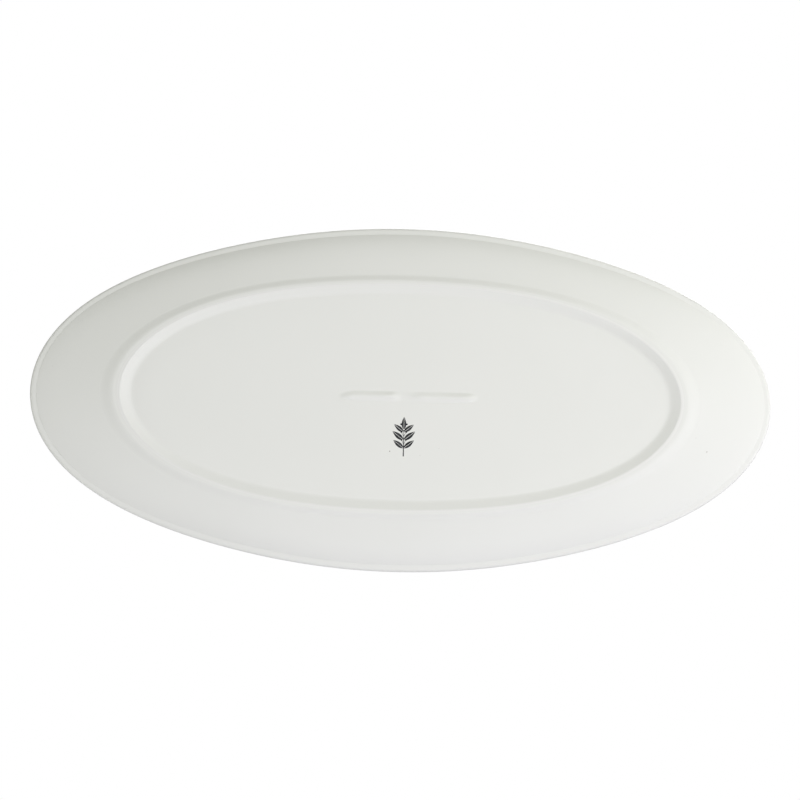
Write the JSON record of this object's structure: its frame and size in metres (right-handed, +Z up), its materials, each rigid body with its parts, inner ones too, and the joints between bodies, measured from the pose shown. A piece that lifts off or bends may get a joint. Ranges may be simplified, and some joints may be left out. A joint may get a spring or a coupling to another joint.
{
  "type": "oval serving platter",
  "caption": "Large oval white glazed porcelain serving platter with a sloping flange that curls up to a rolled rim, a low oval foot ring and a slight support rib under the well.",
  "frame": {"origin": "on the surface the platter stands on, under the middle of the platter", "axes": "+X along the platter's length, +Z up, towards the side that food is served on"},
  "size_m": [0.6, 0.2796, 0.022],
  "materials": {
    "glazed_porcelain": "clear gloss glaze over white porcelain",
    "foot_porcelain": "gloss glaze on the flanks, bare ground porcelain on the bearing face",
    "fired_print": "dark grey print fired under the glaze"
  },
  "bodies": {
    "root": {"platter_body": "glazed_porcelain", "foot_ring": "foot_porcelain", "support_rib": "glazed_porcelain", "backstamp": "fired_print"}
  },
  "joints": []
}
